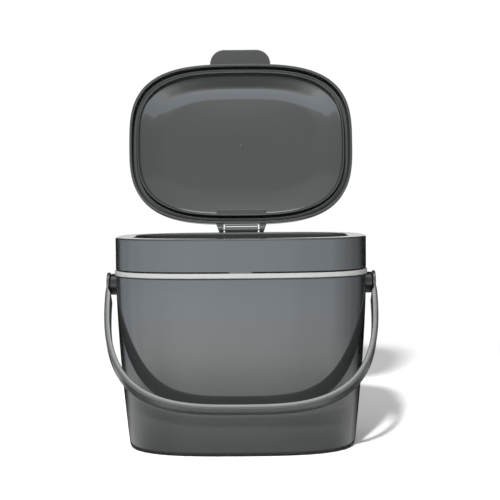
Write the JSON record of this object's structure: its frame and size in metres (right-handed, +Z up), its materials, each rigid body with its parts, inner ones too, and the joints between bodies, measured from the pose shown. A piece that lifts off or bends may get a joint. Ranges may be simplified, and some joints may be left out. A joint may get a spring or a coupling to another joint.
{
  "type": "compost caddy with hinged lid",
  "caption": "Countertop compost caddy: rounded moulded bucket, lift-off collar with a gasket ring, hollow lid on a rear hinge pin, and a bail handle on snap-in bushes.",
  "frame": {"origin": "centre of the base on the worktop, at the level of the foot ring", "axes": "+Z up, -Y towards the front with the thumb tab and the hanging bail, +X to the right seen from the front"},
  "size_m": [0.1994, 0.1733, 0.3],
  "materials": {
    "bucket_plastic": "polished charcoal polypropylene with fine flow marks",
    "collar_plastic": "polished charcoal polypropylene",
    "lid_plastic": "polished charcoal polypropylene, satin inside the crown",
    "bail_plastic": "charcoal polypropylene with a soft sheen",
    "bush_plastic": "dark moulded nylon",
    "gasket_silicone": "light grey silicone with a satin skin",
    "pin_steel": "drawn stainless wire"
  },
  "bodies": {
    "bucket_body": {"bucket": "bucket_plastic", "pivot_bush_left": "bush_plastic", "pivot_bush_right": "bush_plastic"},
    "collar_body": {"collar": "collar_plastic", "rim_gasket": "gasket_silicone"},
    "lid_body": {"lid": "lid_plastic", "hinge_pin": "pin_steel"},
    "bail_body": {"bail_handle": "bail_plastic"}
  },
  "joints": [
    {"name": "collar_lift", "type": "slide", "parent": "bucket_body", "child": "collar_body", "axis": [0, 0, 1], "range_m": [0, 0.014]},
    {"name": "lid_hinge", "type": "hinge", "parent": "collar_body", "child": "lid_body", "pos_m": [0, 0.0692, 0.1547], "axis": [1, 0, 0], "range_deg": [0, 98.3]},
    {"name": "bail_swing", "type": "hinge", "parent": "bucket_body", "child": "bail_body", "pos_m": [0, 0, 0.117], "axis": [-1, 0, 0], "range_deg": [0, 176]}
  ]
}
